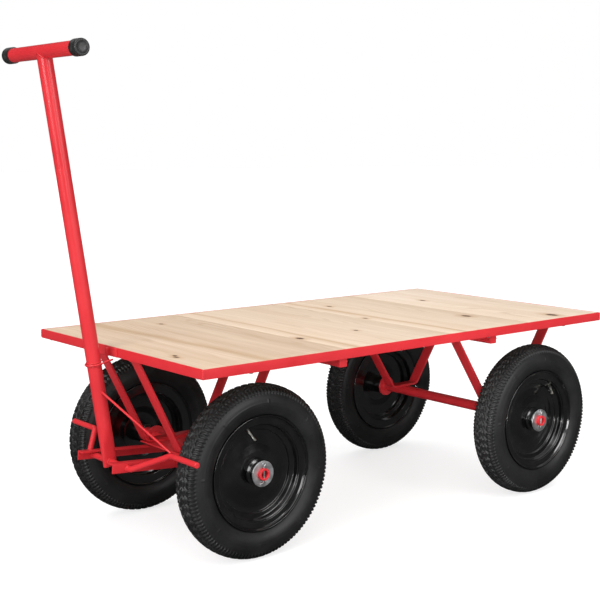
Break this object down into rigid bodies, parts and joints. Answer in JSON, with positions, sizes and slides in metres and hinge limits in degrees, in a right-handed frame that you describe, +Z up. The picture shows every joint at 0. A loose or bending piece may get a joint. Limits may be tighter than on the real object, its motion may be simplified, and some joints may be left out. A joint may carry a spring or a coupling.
{
  "type": "platform cart",
  "caption": "Platform cart with a plywood deck in a steel rim, pneumatic tyres, a steered front axle and a folding T-handle that sets a tyre brake.",
  "frame": {"origin": "middle of the bounding box at ground level", "axes": "+X forward to the handle end, +Y to the cart's left side, +Z up"},
  "size_m": [1.358, 0.64, 1.0405],
  "materials": {
    "plywood": "raw pine plywood",
    "red_paint": "semi-gloss powder coat",
    "black_paint": "gloss black enamel",
    "zinc_steel": "zinc plated",
    "tyre_rubber": "matt black rubber",
    "grip_rubber": "satin black rubber",
    "valve_metal": "nickel plated"
  },
  "bodies": {
    "chassis": {"deck_board_1": "plywood", "deck_board_2": "plywood", "deck_board_3": "plywood", "deck_board_4": "plywood", "rail_front": "red_paint", "rail_rear": "red_paint", "rail_left": "red_paint", "rail_right": "red_paint", "deck_screws": "zinc_steel", "cross_members": "red_paint", "hanger_front_left": "red_paint", "hanger_front_right": "red_paint", "hanger_rear_left": "red_paint", "hanger_rear_right": "red_paint", "turntable_plate": "red_paint", "kingpin": "zinc_steel", "kingpin_nut": "zinc_steel", "rear_axle": "red_paint", "rear_collars": "red_paint", "rear_washers": "zinc_steel", "rear_split_pins": "zinc_steel", "hook_catch": "red_paint"},
    "steering": {"turntable_disc": "red_paint", "front_axle": "red_paint", "front_collars": "red_paint", "front_washers": "zinc_steel", "front_split_pins": "zinc_steel", "yoke_arm_left": "red_paint", "yoke_arm_right": "red_paint"},
    "handle": {"handle_foot": "red_paint", "handle_tube": "red_paint", "grip_tube": "red_paint", "grip_cap_left": "grip_rubber", "grip_cap_right": "grip_rubber", "handle_cross_rod": "red_paint", "brake_bar_left": "red_paint", "brake_bar_right": "red_paint", "brake_brace": "red_paint", "hook_keepers": "red_paint"},
    "hook": {"handle_hook": "red_paint"},
    "wheel_front_left": {"tyre_front_left": "tyre_rubber", "rim_front_left": "black_paint", "rim_disc_front_left": "black_paint", "hub_front_left": "black_paint", "valve_front_left": "valve_metal"},
    "wheel_front_right": {"tyre_front_right": "tyre_rubber", "rim_front_right": "black_paint", "rim_disc_front_right": "black_paint", "hub_front_right": "black_paint", "valve_front_right": "valve_metal"},
    "wheel_rear_left": {"tyre_rear_left": "tyre_rubber", "rim_rear_left": "black_paint", "rim_disc_rear_left": "black_paint", "hub_rear_left": "black_paint", "valve_rear_left": "valve_metal"},
    "wheel_rear_right": {"tyre_rear_right": "tyre_rubber", "rim_rear_right": "black_paint", "rim_disc_rear_right": "black_paint", "hub_rear_right": "black_paint", "valve_rear_right": "valve_metal"}
  },
  "joints": [
    {"name": "steer", "type": "hinge", "parent": "chassis", "child": "steering", "pos_m": [0.325, 0, 0.1982], "axis": [0, 0, 1], "range_deg": [-28, 28]},
    {"name": "handle_fold", "type": "hinge", "parent": "steering", "child": "handle", "pos_m": [0.537, 0, 0.194], "axis": [0, 1, 0], "range_deg": [0, 94]},
    {"name": "hook_swivel", "type": "hinge", "parent": "handle", "child": "hook", "pos_m": [0.56869, 0, 0.4036], "axis": [0.1495, 0, 0.9888], "range_deg": [-90, 0]},
    {"name": "front_left_spin", "type": "hinge", "parent": "steering", "child": "wheel_front_left", "pos_m": [0.325, 0.216, 0.1825], "axis": [0, 1, 0], "continuous": true},
    {"name": "front_right_spin", "type": "hinge", "parent": "steering", "child": "wheel_front_right", "pos_m": [0.325, -0.216, 0.1825], "axis": [0, 1, 0], "continuous": true},
    {"name": "rear_left_spin", "type": "hinge", "parent": "chassis", "child": "wheel_rear_left", "pos_m": [-0.483, 0.268, 0.1825], "axis": [0, 1, 0], "continuous": true},
    {"name": "rear_right_spin", "type": "hinge", "parent": "chassis", "child": "wheel_rear_right", "pos_m": [-0.483, -0.268, 0.1825], "axis": [0, 1, 0], "continuous": true}
  ]
}
